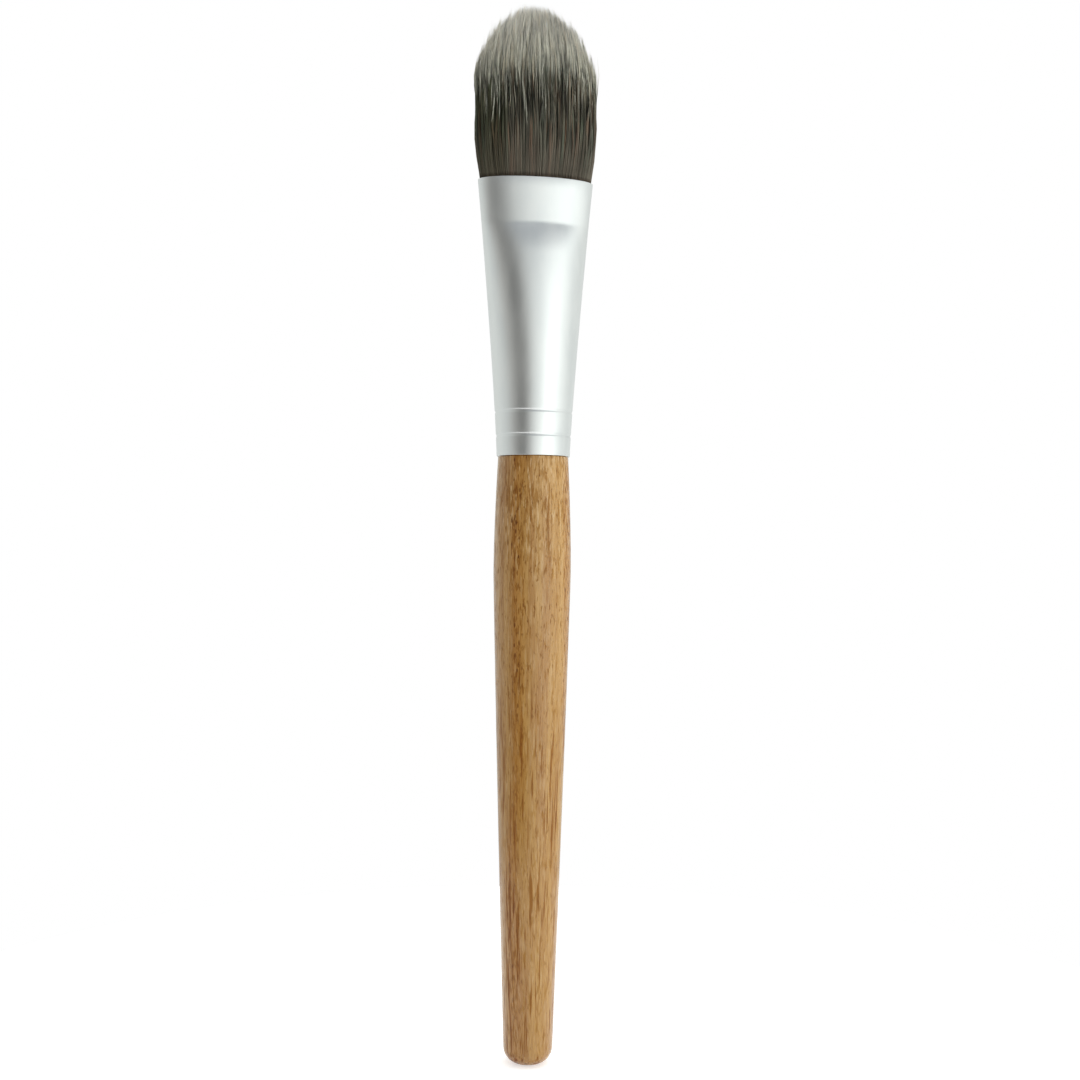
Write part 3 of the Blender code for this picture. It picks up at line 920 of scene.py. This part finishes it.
# darker above the root and darker still at 8 to 14 mm: partly dye, partly painted shade
DYE_AND_SHADE_ABOVE_ROOT = (0.115, 0.108, 0.083)
DARKER_DYE_AND_SHADE_TINT = (0.76, 0.76, 0.74)
WARMER_DARK_TINT = (1.3, 0.9, 0.78)
COOLER_DARK_TINT = (0.78, 1.02, 0.98)
DARK_CONTRAST = (0.14, 2.5)
# painted shade at the tuft's left edge
TUFT_LEFT_EDGE_PAINTED_SHADE_TINT = (0.56, 0.58, 0.46)
# painted light on the dark half's right side
TUFT_RIGHT_PAINTED_LIGHT_TINT = (1.22, 1.15, 1.12)
# painted shadow on the roots at the ferrule's mouth
MOUTH_PAINTED_SHADOW_TINT = (0.45, 0.36, 0.33)
PALE_BELOW_TIP = (0.72, 0.7, 0.59)
PALE_AT_TIP = (0.97, 0.94, 0.83)
WARMER_PALE_TINT = (1.0, 0.93, 0.85)
PALE_CONTRAST = (0.26, 1.23)

# How strongly a tint shows, at the root and above it, or below the tips and at them
HUE_SHARES = (0.5, 1.0)
DARK_CONTRAST_SHARES = (0.2, 1.0)
# how strongly the painted shade at the left edge shows
TUFT_LEFT_EDGE_PAINTED_SHADE_SHARES = (0.6, 1.0)
# how strongly the painted shadow at the mouth shows
MOUTH_PAINTED_SHADOW_SHARES = (0.75, 0.0)
PALE_CONTRAST_SHARES = (1.0, 0.9)


def dyed_filament():
    """Filaments dyed dark below and cream at the tips, with a dye line that differs by strand.

    The dark half has painted shade at the tuft's left edge, a painted shadow just above the
    ferrule's mouth and painted light to the right. Above the root it is darker, partly dye and
    partly painted shade.
    """
    g = new_material("dyed filament")
    tone, up, _ = g.split(g.add("ShaderNodeUVMap", {"uv_map": TONE_MAP}))
    height = up * (MAP_HIGH - MAP_LOW) + MAP_LOW

    def strand_noise(pace, rise, row):
        along = height * rise if rise else 0.0
        return g.noise(g.join(tone * pace, along, row), detail=1.0)

    line = strand_noise(*LINE_NOISE)
    shade = strand_noise(*SHADE_NOISE)
    hue = strand_noise(*HUE_NOISE)
    stray = g.step(strand_noise(*STRAY_NOISE), STRAY_STRANDS)
    x, _, _ = g.split(g.place())
    dye_line = (line - NOISE_MEAN) * LINE_SPREAD + LINE_HEIGHT - x * LINE_TILT
    dye_line = dye_line - x * x * LINE_EDGE_DROP - stray * LINE_STRAY_DROP
    above = g.step(height, ABOVE_ROOT)
    warmer = g.step(hue, WARMER_STRANDS)
    cooler = g.fall(hue, COOLER_STRANDS)

    # darker above the root and below the dye line: partly dye, partly painted shade
    dark = g.mix(above, DARK_AT_ROOT, DYE_AND_SHADE_ABOVE_ROOT)
    dark = g.tint(g.step(height, DARKER_DYE_AND_SHADE_PART), dark, DARKER_DYE_AND_SHADE_TINT)
    dark = g.tint(warmer * g.level(above, HUE_SHARES), dark, WARMER_DARK_TINT)
    dark = g.tint(cooler * g.level(above, HUE_SHARES), dark, COOLER_DARK_TINT)
    contrast = g.mix(g.step(shade, BRIGHTER_DARK_STRANDS), *greys(DARK_CONTRAST))
    dark = g.tint(g.step(height, CONTRAST_PART, DARK_CONTRAST_SHARES), dark, contrast)
    # painted shade at the tuft's left edge
    left_painted_shade = g.fall(x, TUFT_LEFT_EDGE_PAINTED_SHADE_PART) * g.level(above, TUFT_LEFT_EDGE_PAINTED_SHADE_SHARES)
    dark = g.tint(left_painted_shade, dark, TUFT_LEFT_EDGE_PAINTED_SHADE_TINT)
    # painted light on the right of the dark half
    dark = g.tint(g.step(x, TUFT_RIGHT_PAINTED_LIGHT_PART) * above, dark, TUFT_RIGHT_PAINTED_LIGHT_TINT)
    # painted shadow on the roots just above the ferrule's mouth
    dark = g.tint(g.step(height, MOUTH_PAINTED_SHADOW_PART, MOUTH_PAINTED_SHADOW_SHARES), dark, MOUTH_PAINTED_SHADOW_TINT)

    tip = g.step(height, TIP_PART)
    pale = g.mix(tip, PALE_BELOW_TIP, PALE_AT_TIP)
    pale = g.tint(warmer, pale, WARMER_PALE_TINT)
    contrast = g.mix(g.step(shade, BRIGHTER_PALE_STRANDS), *greys(PALE_CONTRAST))
    pale = g.tint(g.level(tip, PALE_CONTRAST_SHARES), pale, contrast)
    return g.finish(
        Base_Color=g.mix(g.step(height - dye_line, LINE_SOFTNESS), dark, pale),
        Roughness=0.45,
        Specular_IOR_Level=0.2,
    )


# ---- Hidden pieces ----


def mottled(name, stretch, detail, deep, pale, roughness, distance, strength):
    """A material that goes softly from a deep to a pale colour, with a relief of that pattern."""
    g = new_material(name)
    pattern = g.grain(stretch, detail=detail)
    return g.finish(
        Base_Color=g.mix(g.step(pattern, SOFT_NOISE), deep, pale),
        Roughness=roughness,
        Normal=g.bump(pattern, distance, strength),
    )


def bonded_filament():
    """The root where resin has wetted the filaments dark."""
    return mottled(
        "bonded filament",
        stretch=(5.0, 5.0, 0.2),
        detail=2.0,
        deep=(0.05, 0.042, 0.03),
        pale=(0.11, 0.09, 0.06),
        roughness=0.35,
        distance=0.03,
        strength=0.6,
    )


def clear_resin():
    return mottled(
        "cured resin",
        stretch=(0.5, 0.5, 0.5),
        detail=3.0,
        deep=(0.55, 0.42, 0.2),
        pale=(0.68, 0.56, 0.32),
        roughness=0.2,
        distance=0.05,
        strength=0.3,
    )


def cured_glue():
    return mottled(
        "cured glue",
        stretch=(1.2, 1.2, 1.2),
        detail=3.0,
        deep=(0.66, 0.58, 0.4),
        pale=(0.78, 0.72, 0.56),
        roughness=0.45,
        distance=0.05,
        strength=0.5,
    )


# ---- Studio ----

# Camera, in millimetres and degrees
CAMERA_DISTANCE = 256.2
CAMERA_HEIGHT = 5.8
CAMERA_AZIMUTH = -11.0
CAMERA_SIDESTEP = 1.3
CAMERA_ROLL = 0.53
CAMERA_LENS = 50
CAMERA_SENSOR = 36
CAMERA_CLIP = 10

# Floor
FLOOR_RADIUS = 130.0
FLOOR_SIDES = 128
FLOOR_LEVELS = (0.9, 0.93)
FLOOR_GLOW = 0.55

# Tent: angles round the brush from the camera's side, positive to its right, and angles above level
COOL = (0.955, 1.0, 0.975)
WARM = (1.0, 1.0, 0.955)
TENT_WALL = (
    (-180, 0.63, COOL), (-110, 0.63, COOL), (-92, 0.57, COOL), (-78, 0.5, COOL), (-66, 0.4, WARM),
    (-56, 0.29, WARM), (-46, 0.19, WARM), (-38, 0.14, WARM), (-28, 0.14, WARM), (-19, 0.21, WARM),
    (-10, 0.38, WARM), (-3, 0.6, COOL), (4, 0.72, COOL), (16, 0.82, COOL), (27, 0.98, COOL),
    (36, 1.26, COOL), (60, 1.26, COOL), (70, 1.02, COOL), (80, 0.92, COOL), (90, 0.82, COOL),
    (101, 0.72, COOL), (112, 0.67, COOL), (140, 0.67, COOL), (180, 0.64, COOL),
)
TENT_STRENGTH = 1.28
LOW_WALL = (-70.0, -45.0)
LOW_GREY = (0.8, 0.8, 0.8)
DIM_AROUND = (0.0, 25.0)
DIM_ABOVE_RISE = (7.0, 12.0)
DIM_ABOVE_FALL = (15.0, 20.0)
DIM_GREY = (0.86, 0.86, 0.86)
LID = (48.0, 70.0)
LID_ACROSS = (-0.4, 0.4)
LID_LEVELS = (0.4, 1.9)
PATCH_AROUND_RISE = (-34.0, -6.0)
PATCH_AROUND_FALL = (60.0, 95.0)
PATCH_ABOVE_RISE = (22.0, 38.0)
PATCH_ABOVE_FALL = (58.0, 72.0)
PATCH_COLOUR = (0.3, 0.325, 0.345)


def set_camera():
    """A level camera, eleven degrees round from the broad face, with the photograph's lean."""
    turn = Matrix.Rotation(math.radians(CAMERA_AZIMUTH), 4, "Z")
    place = turn @ Vector((CAMERA_SIDESTEP * MM, -CAMERA_DISTANCE * MM, CAMERA_HEIGHT * MM))
    level = Matrix.Rotation(QUARTER_TURN, 4, "X")
    roll = Matrix.Rotation(math.radians(CAMERA_ROLL), 4, "Z")
    data = bpy.data.cameras.new("camera")
    data.lens = CAMERA_LENS
    data.sensor_width = CAMERA_SENSOR
    data.clip_start = CAMERA_CLIP * MM
    camera = bpy.data.objects.new("camera", data)
    camera.matrix_world = Matrix.Translation(place) @ turn @ level @ roll
    bpy.context.scene.collection.objects.link(camera)
    bpy.context.scene.camera = camera


def studio_world():
    """A bright tent with a dark card to the camera's left, a dim patch above it and a lid.

    Camera and transmission rays see plain white instead of the tent.
    """
    world = bpy.data.worlds.new("tent")
    bpy.context.scene.world = world
    g = Graph(world)
    direction = g.add("ShaderNodeTexCoord", output="Generated")
    turn = (0, 0, math.radians(-CAMERA_AZIMUTH))
    x, y, z = g.split(g.add("ShaderNodeMapping", None, {"Vector": direction, "Rotation": turn}))
    around = g.math("ARCTAN2", x, y * -1.0) * DEGREES
    above = g.math("ARCSINE", z) * DEGREES

    stops = [
        ((angle + 180) / 360, [level * share for share in tint]) for angle, level, tint in TENT_WALL
    ]
    wall = g.add("ShaderNodeValToRGB", {"stops": stops}, {"Fac": around / 360.0 + 0.5})
    tent = g.mix(g.step(above, LOW_WALL), LOW_GREY, wall)
    dim = g.step(around, DIM_AROUND) * g.between(above, DIM_ABOVE_RISE, DIM_ABOVE_FALL)
    tent = g.tint(dim, tent, DIM_GREY)
    lid = g.mix(g.step(x, LID_ACROSS), *greys(LID_LEVELS))
    tent = g.mix(g.step(above, LID), tent, lid)
    patch = g.between(around, PATCH_AROUND_RISE, PATCH_AROUND_FALL)
    patch = patch * g.between(above, PATCH_ABOVE_RISE, PATCH_ABOVE_FALL)
    tent = g.mix(patch, tent, PATCH_COLOUR)

    seen = g.seen_by("Is Camera Ray", "Is Transmission Ray")
    light = g.add("ShaderNodeBackground", None, {"Color": tent, "Strength": TENT_STRENGTH})
    white = g.add("ShaderNodeBackground", None, {"Color": WHITE, "Strength": 1.0})
    surface = g.add("ShaderNodeMixShader", None, {0: seen, 1: light, 2: white})
    g.add("ShaderNodeOutputWorld", None, {"Surface": surface})


def pale_floor():
    """A pale floor that keeps a faint shadow, with a glow that only camera and glossy rays see."""
    floor = draw_ring("floor", FLOOR_SIDES, FLOOR_RADIUS * MM, BUTT_HEIGHT)
    put_away()
    g = new_material("pale floor")
    fleck = g.grain(stretch=(0.02, 0.02, 0.02))
    colour = g.mix(fleck, *greys(FLOOR_LEVELS))
    diffuse = g.add("ShaderNodeBsdfDiffuse", None, {"Color": colour})
    seen = g.seen_by("Is Camera Ray", "Is Glossy Ray")
    glow = g.add("ShaderNodeEmission", None, {"Color": WHITE, "Strength": seen * FLOOR_GLOW})
    surface = g.add("ShaderNodeAddShader", None, {0: diffuse, 1: glow})
    g.add("ShaderNodeOutputMaterial", None, {"Surface": surface})
    floor.data.materials.append(g.owner)


# ---- Assembly ----


def dress(piece, slot, *nodes, finish):
    """Gives a new piece its finish; it rides on the brush and stands for CAD nodes. The slot is not
    used.
    """
    piece.data.materials.append(finish)
    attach(piece, "root")
    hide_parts(*nodes)


def dress_tuft():
    """The filaments in four quarters of the tuft, each a piece of its own."""
    finish = dyed_filament()
    pattern = filament_pattern()
    filaments = tuft_filaments()
    across, through = filaments["places"].T
    for depth_name, front in (("front", -1), ("back", 1)):
        for side_name, side in (("left", -1), ("right", 1)):
            chosen = (through * front > 0) & (across * side > 0)
            piece = lay_filaments(f"filaments_{depth_name}_{side_name}", pattern, filaments, chosen)
            dress(piece, "filament", "filament_tuft", finish=finish)


def main():
    dress(build_handle(), "wood", "handle", finish=oiled_wood())
    dress(build_ferrule(), "aluminium", "ferrule", finish=satin_aluminium())
    dress(build_root(), "filament", "filament_tuft", finish=bonded_filament())
    dress_tuft()
    for node, finish in (("resin_plug", clear_resin()), ("adhesive_ring", cured_glue())):
        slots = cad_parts[node].data.materials
        slots.clear()
        slots.append(finish)
    pale_floor()
    studio_world()
    set_camera()
    bpy.context.scene.view_settings.view_transform = "Standard"


main()
put_away()
